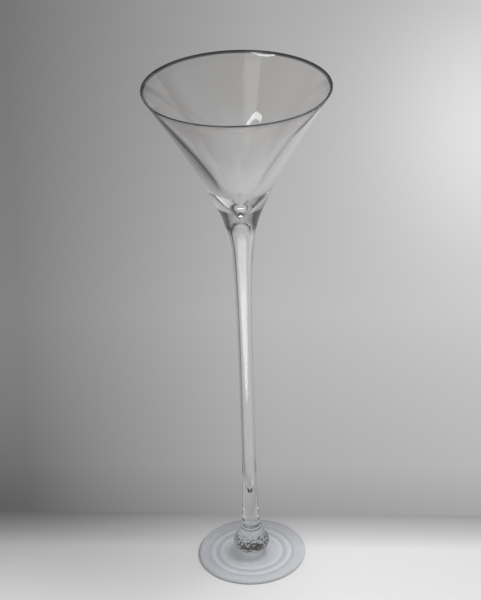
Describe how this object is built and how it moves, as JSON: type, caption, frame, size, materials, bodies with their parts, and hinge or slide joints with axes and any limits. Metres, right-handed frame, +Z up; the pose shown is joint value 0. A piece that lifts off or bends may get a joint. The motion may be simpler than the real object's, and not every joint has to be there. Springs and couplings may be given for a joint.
{
  "type": "cocktail glass",
  "caption": "Very tall cocktail glass of clear blown glass: flared conical bowl, long hollow drawn stem, bulb knop and round rippled foot.",
  "frame": {"origin": "centre of the foot's resting face, on the surface that the glass stands on", "axes": "+Z up along the axis of the bowl, stem and foot; +X and +Y are any two level directions, because every piece is turned round Z"},
  "size_m": [0.2024, 0.2024, 0.6],
  "materials": {
    "clear_glass": "fire-polished clear soda-lime glass, colourless with a faint cool grey tint in thick places"
  },
  "bodies": {
    "root": {"foot": "clear_glass", "knop": "clear_glass", "merese": "clear_glass", "stem": "clear_glass", "collar": "clear_glass", "bowl": "clear_glass"}
  },
  "joints": []
}
